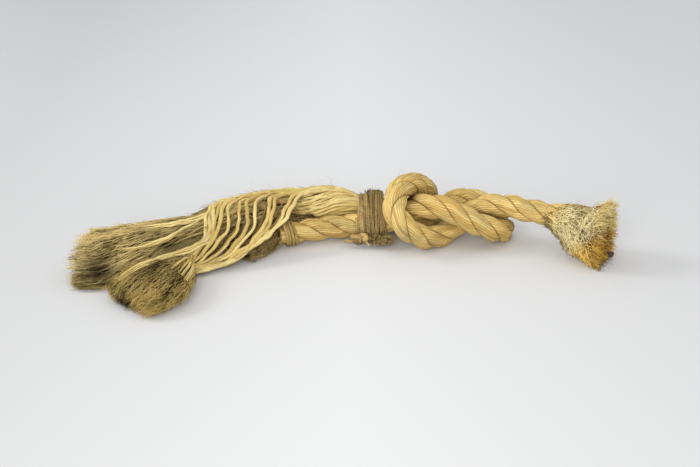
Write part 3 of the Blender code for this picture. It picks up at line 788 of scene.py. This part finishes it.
# painted shade between the rear brush's locks and in its hollows, with its dirt marks
REAR_STAINS_AND_SHADE = [
    (-240, -96, 16, 15, 0.9), (-232, -88, 10, 10, 0.6), (-169, -61, 32.5, 8, 1.05), (-176, -67, 31, 6, 1.1),
    (-262, -104, 10, 8, 0.6), (-150, -50, 34, 8, 0.8), (-186, -58, 38, 5, 0.8), (-160, -42, 38, 7, 0.8),
    (-158, -60, 30, 6, 0.7), (-199, -61, 39, 5, 0.8), (-196, -98, 22, 8, 0.6),
]
REAR_BRIGHT = [
    (-250, -62, 36, 17, 0.5), (-192, -45, 42, 20, 0.3), (-215, -80, 32, 12, 0.3), (-198, -71, 33, 14, 0.8),
]
# darker spots on the front brush
FRONT_DARK_SPOTS = [(-183, -108, 24, 13, 0.8), (-190, -122, 18, 10, 0.7), (-208, -134, 5, 11, 0.75)]
FRONT_BRIGHT = [(-160, -104, 14, 12, 0.6), (-184, -141, 4, 14, 0.6), (-172, -118, 18, 7, 0.5)]
REAR_LOCKS = 18
HAND_LOCKS = [  # each lock's middle line, how many yarns it has and how far they lie from it
    ([(-122, -34, 22), (-138, -50, 26), (-155, -73, 27.5), (-180, -95, 28.5), (-198, -108, 26.5),
      (-216, -121, 20)], 10, 2.5),
    ([(-148, -37, 41), (-161, -47, 38), (-175, -65, 36), (-189, -74, 33.5), (-201, -80, 33),
      (-216, -80, 31)], 8, 2.3),
    ([(-136, -31, 46), (-154, -39.5, 43.5), (-176, -48, 43), (-200, -54, 43)], 4, 1.3),
]

rng = np.random.default_rng(21)
rear_mass = mass_frames(REAR_BRUSH)
rear_look = fray_look(
    "rear_fray", pale=(240, 215, 146), straw=(176, 152, 89), dark=(96, 79, 38), root=(54, 41, 20),
)
rear_ways = {"radius": 0.32, "ragged": 0.9, "stains_and_shade": REAR_STAINS_AND_SHADE, "bright": REAR_BRIGHT}
rear = new_piece("rear_brush_fibres", [
    mass_heart(rear_mass, 0.84, rng, end=0.91),
    layered_fibres(
        rear_mass, 3050, rng, (-0.05, 0.9), (0.1, 0.24), (0.76, 1.0), lift=0.07, curl=1.7, pale_root=0.6,
        **rear_ways,
    ),
    layered_fibres(
        rear_mass, 1700, rng, (0.72, 0.95), (0.07, 0.14), (0.2, 1.0), lift=0.1, curl=1.8, **rear_ways,
    ),
], rear_look)
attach(rear, "root")
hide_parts("rear_brush")

lock_routes = []
for each in range(REAR_LOCKS):
    bearing = math.radians(rng.uniform(35, 150))
    far = np.linspace(rng.uniform(0.55, 0.8), 0.98, 4)
    on = in_mass(bundle, far, bearing, 0.98)
    far = np.linspace(0.06, rng.uniform(0.3, 0.6), 4)
    swing = bearing + np.cumsum(rng.uniform(-0.2, 0.2, 4))
    lock_routes.append(np.concatenate([on, in_mass(rear_mass, far, swing, rng.uniform(0.96, 1.08))]))
grime = [(0.2, rng.uniform(0.3, 0.8)) for _ in range(REAR_LOCKS)]
sizes = rng.uniform(0.7, 2.0, REAR_LOCKS)
matted = yarn_tubes(lock_routes, sizes, rng, grime, rings=46, sides=8, taper=0.5)
lock_routes = [
    route + rng.uniform(-spread, spread, (1, 3)) + rng.uniform(-0.8, 0.8, (len(route), 3))
    for route, count, spread in HAND_LOCKS for _ in range(count)
]
sizes = rng.uniform(0.7, 1.3, len(lock_routes))
clean = [(0, 0)] * len(sizes)
loose = yarn_tubes(lock_routes, sizes, rng, clean, rings=46, sides=7, taper=0.4, palest=0.5)
loose_locks = new_piece("rear_brush_locks", matted + loose, yarn_finish)
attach(loose_locks, "root")

rng = np.random.default_rng(22)
front_look = fray_look(
    "front_fray", pale=(216, 188, 113), straw=(144, 120, 63), dark=(78, 62, 28), root=(42, 31, 14),
)
front_ways = {"curl": 1.8, "radius": 0.27, "ragged": 0.5, "stains_and_shade": FRONT_DARK_SPOTS, "bright": FRONT_BRIGHT}
front = new_piece("front_brush_fibres", [
    mass_heart(front_mass, 0.84, rng, begin=0.16, end=0.93),
    layered_fibres(
        front_mass, 2900, rng, (0.16, 0.92), (0.08, 0.2), (0.78, 1.0), lift=0.09, pull=0.4, **front_ways,
    ),
    layered_fibres(
        front_mass, 1700, rng, (0.76, 0.95), (0.06, 0.14), (0.2, 1.0), lift=0.12, pull=0.3, **front_ways,
    ),
], front_look)
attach(front, "root")
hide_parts("front_brush")

rng = np.random.default_rng(23)
tail_mass = mass_frames(TAIL_BRUSH)
tail_look = fray_look(
    "tail_fray", pale=(192, 162, 103), straw=(131, 105, 58), dark=(74, 57, 28), root=(44, 33, 16),
)
tail = new_piece("tail_brush_fibres", [
    mass_heart(tail_mass, 0.84, rng),
    layered_fibres(
        tail_mass, 1400, rng, (0.0, 0.85), (0.2, 0.45), (0.76, 1.0), lift=0.13, pull=0.4, curl=2.3,
        radius=0.26, bins=(16, 3),
    ),
], tail_look)
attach(tail, "root")
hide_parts("tail_brush")


# ==== The flared end ====
# Past its last whipping mark the standing rope has burst into a bell of loose fibre: curly and pale
# on the outside, orange where resin has run to its foot, and cut across at the mouth.

FLARED_END = [
    (197.3, -11.7, 37.5, 12, 12, 0), (203, -14.7, 37.4, 12.8, 13.4, 0),
    (210, -18.7, 35.5, 14.5, 16.6, 0), (220, -24.6, 32.6, 18.5, 20.8, 0),
    (231, -31, 27.6, 23.5, 25, 0), (241, -37.3, 27.1, 26.5, 30.9, 0),
    (250.5, -43.2, 27.2, 28, 37.3, 0),
]
FLARE_SHADED_HOLES = [  # x, y, z, reach, strength: where the fibre has opened; those near are painted dark, the shade in the hole
    (212, -35, 31, 4, 1.2), (207, -32, 33, 3, 1.0), (226, -52, 35, 4, 1.2), (232, -57, 26, 6.5, 1.0),
    (221, -45, 38, 3, 1.0), (205, -27, 21, 6, 0.9), (214, -33, 15, 6, 0.9), (222, -38, 50, 4, 0.6),
    (239, -62, 16, 5, 0.8), (244, -58, 40, 4, 0.5),
]
FLARE_SHADE = (224, -48, 32, 24, 0.5)  # the mat under the curls is darker
FLARE_WARM = {"warm": (255, 233, 168), "warm_way": (-0.5, 0.423, 0.906), "warm_below": -0.095}
FLARE_RADIUS = 22  # at its middle
FLARE_CURLS = [  # count, far, turn, size, radius, lift; tone; how deep in shade, or 0 where holes say so
    ((380, (0.22, 0.88), (2.0, 3.75), (7, 17), (0.26, 0.46), 0.12), (0.9, 1.9), 0),
    ((220, (0.5, 1.0), (3.7, 5.0), (5, 12), (0.26, 0.46), 0.12), (-0.3, 1.3), 0.3),
    ((150, (0.02, 0.6), (3.9, 4.6), (5, 12), (0.16, 0.36), 0.3), (-0.5, 0.6), 0.5),
    ((90, (0.0, 0.11), (2.5, 4.2), (3, 9), (0.2, 0.4), 0.07), (-0.4, 0.5), 0.5),
]
MOUTH_BINS = 34
MOUTH_LIP, MOUTH_LIP_TURN = 0.16, 2.0  # how far past its end the mouth reaches, and at which turn
NECK_ROWS = 22  # the laid neck's length in the flare
NECK_SIZE = [(0, 1.0), (6, 1.07), (14, 1.24), (21, 1.2)]  # (mm along, share of the rope's size)


def lying_curls(frames, rng, count, far, turn, size, radius, lift):
    """Fibres that lie curled on a mass's skin. Each starts far along and turned about the mass, sets out
    any way, bends by up to most of a circle over its size, and stands proud half way by up to lift.
    """
    along = np.linspace(0, 1, 8)[None]
    way = rng.uniform(0, math.tau, (count, 1)) + rng.uniform(-4.2, 4.2, (count, 1)) * along
    step = rng.uniform(*size, (count, 1)) / 8
    ahead, across = np.cumsum(np.cos(way), axis=1) * step, np.cumsum(np.sin(way), axis=1) * step
    proud = lift * rng.uniform(0, 1, (count, 1)) * np.sin(math.pi * along)
    far = rng.uniform(*far, (count, 1)) + ahead / len(frames)
    turn = rng.uniform(*turn, (count, 1)) + across / FLARE_RADIUS
    lines = in_mass(frames, far, turn, rng.uniform(0.97, 1.01, (count, 1)) + proud)
    return lines, rng.uniform(*radius, count)


rng = np.random.default_rng(31)
flare_mass = mass_frames(FLARED_END)
neck_line = flare_mass[:NECK_ROWS:4, :3]
ahead, side, up = frames_along(standing_line)
start_turn = STANDING_SET[0][1]
strand_way = math.cos(start_turn) * side[0] + math.sin(start_turn) * up[0]
ahead, side, up = frames_along(smooth_line(neck_line, ROPE_STEP))
neck_set = math.atan2(strand_way @ up[0], strand_way @ side[0])
neck_part, _ = laid_rope(neck_line, [(0, neck_set), (40, neck_set)], NECK_SIZE, KNOT_DIRT_AND_SHADE, 3)
neck = new_piece("flared_end_neck", [neck_part], rope_look)
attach(neck, "root")

flare_look = fray_look(
    "flare_fibre", pale=(255, 238, 180), straw=(214, 182, 104), dark=(140, 108, 50), root=(72, 50, 22),
    **FLARE_WARM,
)
beyond = MOUTH_LIP * np.cos(round_turn(MOUTH_BINS) - MOUTH_LIP_TURN).clip(0)
curls = [lying_curls(flare_mass, rng, *sizes) for sizes, _, _ in FLARE_CURLS]
flare_parts = [
    mass_heart(flare_mass, 0.9, rng, dark=0.45, begin=0.2, end=0.95),
    layered_fibres(
        flare_mass, 2500, rng, (0.13, 0.86), (0.12, 0.4), (0.84, 0.97), lift=0.01, pull=0.12, curl=1.0,
        radius=0.27, bins=(MOUTH_BINS, 4), dark=0.5, stains_and_shade=FLARE_SHADED_HOLES + [FLARE_SHADE], overhang=beyond,
    ),
    layered_fibres(
        flare_mass, 450, rng, (0.14, 0.8), (0.06, 0.3), (0.94, 1.0), lift=0.025, pull=0.0, curl=2.4,
        radius=0.24, points=6, pale_root=0.4, stains_and_shade=FLARE_SHADED_HOLES,
    ),
]
for (lines, sizes), (_, tones, shade) in zip(curls, FLARE_CURLS):
    tone = rng.uniform(*tones, len(lines))
    deep = rng.uniform(0, shade, len(lines)) if shade else 0.6 * near_spots(lines, FLARE_SHADED_HOLES)
    flare_parts.append(thin_fibres(lines, sizes, rng, tone=tone, deep=deep))
flare = new_piece("flared_end_fibres", flare_parts, flare_look)
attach(flare, "root")
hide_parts("flared_end")

mouth_look = fray_look(
    "flare_mouth", pale=(255, 230, 150), straw=(226, 184, 98), dark=(160, 118, 52), root=(90, 62, 26),
    **FLARE_WARM,
)
mouth = new_piece("flared_end_mouth", [
    layered_fibres(
        flare_mass, 1100, rng, (0.84, 0.95), (0.06, 0.2), (0.3, 1.0), lift=0.06, pull=0.0, curl=1.6,
        radius=0.27, dark=0.3, overhang=beyond,
    ),
], mouth_look)
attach(mouth, "root")


# ==== Main whipping ====
# Tarred twine drawn tight round all three legs left of the knot, and finished by a small hard knot
# in front. Its turns nearly touch; a few strayed over the others, and the right half is the darker.

TWINE_LOWEST = 0.595  # where its middle line lies on the table
TWINE_STEP = 1.9
TWINE_TWIST = 7  # length of one turn of its two plies
LEG_OUT = 12.2  # where the twine lies, from a leg's middle
THINNER = (4.0, 0.0, 4.0)  # what the first and last leg lose on the left, where they are unlaid
THINNER_FROM_X, THINNER_OVER = 19, 5
TURN_PLACES = 120  # worked out on each turn
LAYERS = [  # x from and to, turns, how far out, first bearing, wander; the twine's radius
    ((7.6, 33.6, 13.4, LEG_OUT + 0.9, 4.2, 1.2), 1.0),
    ((7.2, 17.5, 4.1, LEG_OUT + 1.2, 2.2, 0.9), 1.45),
    ((33.0, 19.5, 8.3, LEG_OUT + 2.1, 1.4, 2.0), 0.9),
    ((20.5, 32.5, 4.2, LEG_OUT + 2.7, 3.1, 2.4), 0.75),
]
FUZZ = 850
LEG_RUNS = standing_line[-45:][::-1], bight_line[30:120], bight_line[-45:][::-1]  # each with x rising


def leg_middles(x):
    """Middles (y, z) of the three legs where they cross x, read off the ropes' own lines."""
    return np.stack([rows_at(x, run[:, 0], run[:, 1:]) for run in LEG_RUNS], axis=1)


def taut_turns(rng, x_from, x_to, turns, out, begin, wander):
    """A taut line round the legs. At each bearing about them it lies beyond the leg that reaches furthest
    that way, so it runs straight from leg to leg; x moves on evenly, but for its wander.
    """
    count = int(turns * TURN_PLACES)
    bearing = begin + math.tau * turns * np.linspace(0, 1, count)
    x = np.linspace(x_from, x_to, count) + wander * wave_noise(rng, (1,), np.arange(count), 70.0)[0]
    outward = np.stack([np.cos(bearing), np.sin(bearing)], axis=1)
    drawn = np.array(THINNER) * ((THINNER_FROM_X - x) / THINNER_OVER).clip(0, 1)[:, None]
    middles = leg_middles(x)
    furthest = ((middles * outward[:, None]).sum(axis=-1) - drawn).argmax(axis=1)
    each = np.arange(count)
    around = middles[each, furthest] + (out - drawn[each, furthest])[:, None] * outward
    line = np.concatenate([x[:, None], around], axis=1)
    along = lengths_along(line)
    line = rows_at(np.linspace(0, along[-1], int(along[-1] / TWINE_STEP)), along, line)
    line[:, 2] = line[:, 2].clip(TWINE_LOWEST)
    return line


def coil_tube(line, radius, rng, grime, sides=7):
    """One twisted twine along a line that is already evenly spaced: round, with two plies that turn with
    its twist. grime is how dirty it is at each place.
    """
    along = np.arange(len(line)) * np.linalg.norm(line[1] - line[0])
    ahead, side, up = frames_along(line)
    around = round_turn(sides)
    twist = around[None] + math.tau * along[:, None] / TWINE_TWIST
    ply = np.abs(np.cos(twist))
    size = radius * (1 + 0.12 * wave_noise(rng, (1,), along, 8.0)[0])[:, None] * (0.82 + 0.22 * ply)
    rings = line[:, None] + size[..., None] * spokes(around, side, up)
    laid = [radius * np.cos(twist), radius * np.sin(twist), 0 * twist + along[:, None] * 0.6]
    tone = 0.5 + 0.5 * wave_noise(rng, (1,), along, 160.0)[0]
    dirt = grime + 0.45 * wave_noise(rng, (1,), along, 30.0)[0].clip(0)
    looks = {"hollow": (1 - ply)[None], "groove": dirt[None, :, None], "tone": tone[None, :, None]}
    return closed_tubes(rings[None], laid=np.stack(laid, axis=-1)[None], **looks)


rng = np.random.default_rng(41)
twine_look = plant_fibre(
    "twine", pale=(240, 212, 146), straw=(204, 174, 108), dark=(142, 112, 60),
    dirt=(70, 50, 24), weather=(160, 150, 114), tan=(168, 128, 68),
)
turns = [taut_turns(rng, *sizes) for sizes, _ in LAYERS]
lift = rng.uniform(0.4, 3.0, FUZZ)[:, None, None]
stems = taut_turns(rng, 8, 33, 40, LEG_OUT + 1.8, 0.0, 3.0)
which = rng.integers(2, len(stems) - 2, FUZZ)
roots = stems[which]
outward = roots[:, 1:] - leg_middles(roots[:, 0]).mean(axis=1)
outward = unit(np.concatenate([np.zeros((FUZZ, 1)), outward], axis=1))[:, None]
run = unit(stems[which + 1] - stems[which - 1] + rng.normal(size=(FUZZ, 3)) * 0.9)[:, None]
along = np.linspace(0, 1, 5)[None, :, None]
hairs = roots[:, None] + run * along * rng.uniform(3, 9, (FUZZ, 1, 1))
hairs = hairs + outward * (lift * (1.2 * along - 0.5 * along**2))
groove, tone = rng.uniform(0, 0.5, FUZZ), rng.uniform(0, 1, FUZZ)
twine = [
    coil_tube(line, size, rng, 0.05 + 0.3 * ((line[:, 0] - 16) / 6).clip(0, 1))
    for line, (_, size) in zip(turns, LAYERS)
]
fuzz = thin_fibres(
    hairs, rng.uniform(0.13, 0.25, FUZZ), rng, laid=hairs, hollow=np.zeros(FUZZ), groove=groove, tone=tone,
)
whipping = new_piece("main_whipping_twine", [*twine, fuzz], twine_look)
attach(whipping, "root")
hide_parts("main_whipping")


# ==== The whipping's knot ====
# The twine's two ends are tied in an overhand knot that has set into two small hard lumps.

KNOT_MIDDLE = (9.2, -10.6, 10.4)
KNOT_HALF = (8.8, 4.8, 5.0)
KNOT_ENDS = [
    [(4.5, -9.5, 8.8), (0.5, -10.6, 7.2), (-2.8, -10.2, 8.4), (-6.2, -11.6, 7.0)],
    [(14, -10.0, 8.4), (17, -11.4, 6.2), (19.5, -12.5, 3.6)],
]
KNOT_RADII = (2.9, 1.3, 1.2)  # of the knot and of its two ends


def overhand(middle, half):
    """An overhand knot's line: at angle t the place is (sin t + 2 sin 2t, -1.5 sin 3t, cos t - 2 cos 2t)
    over 3, spread to half sizes, less its own thickness, about its middle.
    """
    t = np.linspace(0.35, math.tau + 0.2, 150)
    line = [np.sin(t) + 2 * np.sin(2 * t), -1.5 * np.sin(3 * t), np.cos(t) - 2 * np.cos(2 * t)]
    return np.array(middle) + np.transpose(line) / 3 * (np.array(half) - 1.2)


rng = np.random.default_rng(42)
knot_look = plant_fibre(
    "pale_twine", pale=(255, 229, 154), straw=(234, 202, 124), dark=(184, 151, 84),
    dirt=(86, 64, 34), weather=(160, 150, 116), tan=(178, 134, 76), weathered=0.3,
)
knot_lines = [smooth_line(line, 0.9) for line in (overhand(KNOT_MIDDLE, KNOT_HALF), *KNOT_ENDS)]
knot_parts = [coil_tube(line, radius, rng, 0.05) for line, radius in zip(knot_lines, KNOT_RADII)]
knot = new_piece("whipping_knot_twine", knot_parts, knot_look)
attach(knot, "root")
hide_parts("whipping_knot")


# ==== Tow under the whipping ====
# A wad of dark loose fibre, rubbed out of the twine and the rope, caught under the whipping.

TOW_MIDDLE = (31, -10.4, 9.2)
TOW_HALF = (13.5, 4.6, 5.2)
TOW = 520

rng = np.random.default_rng(43)
aim = unit(rng.normal(size=(TOW, 3)))
start = aim * rng.uniform(0.2, 0.9, (TOW, 1)) * TOW_HALF
grow = unit(rng.normal(size=(TOW, 3)) * (1, 0.6, 0.5) + (0.5, 0, 0)) * rng.uniform(3, 10, (TOW, 1))
along = np.linspace(0, 1, 6)[None, :, None]
wave = np.sin(along * rng.uniform(2, 7, (TOW, 1, 1)) + rng.uniform(0, 6, (TOW, 1, 1)))
lines = start[:, None] + grow[:, None] * along + 1.8 * wave * rng.normal(size=(TOW, 1, 3))
out = np.linalg.norm(lines / TOW_HALF, axis=2, keepdims=True)
lines = lines * np.minimum(1, rng.uniform(0.8, 1.3, (TOW, 1, 1)) / out)
tow_look = fray_look(
    "dark_tow", pale=(196, 170, 110), straw=(132, 109, 62), dark=(66, 50, 25), root=(38, 29, 15),
)
# painted shade: fibres deeper in the wad are darker
deep = (1.6 - 1.8 * np.linalg.norm(lines / TOW_HALF, axis=2)).clip(0, 0.9)
sizes, tone = rng.uniform(0.2, 0.6, TOW), rng.uniform(0, 1, TOW)
tow_part = thin_fibres(TOW_MIDDLE + lines, sizes, rng, tone=tone, deep=deep)
tow = new_piece("whipping_tow_fibres", [tow_part], tow_look)
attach(tow, "root")
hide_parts("whipping_tow")


# ==== Tail whipping ====
# Six slanting turns of the same twine keep the tail's strands together where its brush begins.

TAIL_TURNS = 6.3
TAIL_WRAP_STARTS = 0.4  # bearing
TAIL_WRAP_RADIUS = 1.05
TAIL_PLACES = 540

rng = np.random.default_rng(44)
near_tail = bight_line[(bight_line[:, 0] > -71) & (bight_line[:, 0] < -53)]
rows = np.arange(len(near_tail))
ahead, side, up = frames_along(near_tail)
wrap = np.linspace(TAIL_WRAP_STARTS, TAIL_WRAP_STARTS + math.tau * TAIL_TURNS, TAIL_PLACES)
wander = 1.2 * np.cos(wrap - TAIL_WRAP_STARTS)
wander += 0.5 * wave_noise(rng, (1,), np.arange(TAIL_PLACES), 60.0)[0]
reach = np.linspace(2.2, len(near_tail) - 3.2, TAIL_PLACES) + wander
middle, side, up = (rows_at(reach, rows, each) for each in (near_tail, side, up))
wrapped = middle + (ROPE_RADIUS + 1.1) * (np.cos(wrap)[:, None] * side + np.sin(wrap)[:, None] * up)
tail_part = coil_tube(smooth_line(wrapped[::4], 1.4), TAIL_WRAP_RADIUS, rng, 0.2)
tail_wrap = new_piece("tail_whipping_twine", [tail_part], knot_look)
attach(tail_wrap, "root")
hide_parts("tail_whipping")


# ==== Stray fibres ====
# Single fibres that have sprung from the ropes' yarns, the unlaid crest, the hanging locks and the
# tail's brush, straight or curled, some of them touching the table.

STRAY_RADIUS = 0.11
ROPE_HAIRS = (85, 104)
LOCK_HAIRS = 9
CREST_HAIRS = (300, (0.05, 1), (0.1, 1.0), 1.0, 170, (6, 22))  # as skin_fibres takes them
TAIL_HAIRS = (200, (0, 1), (0.9, 1.7), 0.95, 70, (4, 14))


def sprung_fibres(roots, outward, ahead, count, length, rng):
    """Hairs that leave a surface: each starts near a root, runs its length between ahead and outward, and
    curls round by up to a turn.
    """
    which = rng.integers(0, len(roots), count)
    go = ahead[which] * rng.uniform(-1, 1, (count, 1)) + outward[which] * rng.uniform(0.3, 1, (count, 1))
    go = unit(go)
    round_to = unit(np.cross(go, rng.normal(size=(count, 3))))[:, None]
    long = rng.uniform(*length, (count, 1))[:, None]
    bend = rng.uniform(0.2, 3.5, (count, 1))[:, None]
    turn = bend * np.linspace(0, 1, 7)[None, :, None]
    curl = (go[:, None] * np.sin(turn) + round_to * (1 - np.cos(turn))) / bend
    lines = roots[which][:, None] + long * curl
    lines[..., 2] = lines[..., 2].clip(0.2)
    tone = rng.uniform(0.2, 1, count)
    return thin_fibres(lines, np.full(count, STRAY_RADIUS), rng, tone=tone, deep=np.zeros(count))


def skin_fibres(frames, rng, roots, far, turn, depth, count, length):
    """Hairs that have sprung from so many roots on a mass's skin: far along it, and turned about it by so
    many half turns.
    """
    far, turn = rng.uniform(*far, roots), rng.uniform(*turn, roots) * math.pi
    on = in_mass(frames, far, turn, depth)
    outward = unit(on - in_mass(frames, far, turn, 0.5))
    ahead = unit(in_mass(frames, far + 0.05, turn, depth) - on)
    return sprung_fibres(on, outward, ahead, count, length, rng)


rng = np.random.default_rng(51)
strays = []
for line, count in zip((standing_line, bight_line), ROPE_HAIRS):
    ahead, side, up = frames_along(line)
    turn = rng.uniform(0, math.tau, (len(line), 1))
    outward = np.cos(turn) * side + np.sin(turn) * up
    strays.append(sprung_fibres(line + (ROPE_RADIUS - 1) * outward, outward, ahead, count, (3, 11), rng))
strays.append(skin_fibres(bundle, rng, *CREST_HAIRS))
for line in lock_lines:
    ahead, side, up = frames_along(line)
    strays.append(sprung_fibres(line, up - side, ahead, LOCK_HAIRS, (3, 12), rng))
strays.append(skin_fibres(tail_mass, rng, *TAIL_HAIRS))
hair_look = fray_look(
    "stray_fibre", pale=(240, 226, 182), straw=(196, 178, 130), dark=(130, 112, 74), root=(90, 70, 36),
)
hairs = new_piece("stray_fibres", strays, hair_look)
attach(hairs, "root")


# ==== The nail ====
# A short iron nail driven into the foot of the flared end: brown rust, nearly black on the shank.

rust, tree, shader = new_material("rusty_iron", 0.7)
crust = noise(tree, object_place(tree), 900.0, 5.0, 0.7)
colour = ramp(tree, crust, (0.35, 52, 40, 34), (0.55, 96, 76, 66), (0.72, 138, 112, 96))
tree.links.new(colour, shader.inputs["Base Color"])
shader.inputs["Metallic"].default_value = 0.35
pitted = add_node(tree, "Bump", {"Height": crust, "Strength": 0.6, "Distance": 0.0004})
tree.links.new(pitted.outputs["Normal"], shader.inputs["Normal"])
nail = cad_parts["nail"].data
nail.materials.clear()
nail.materials.append(rust)
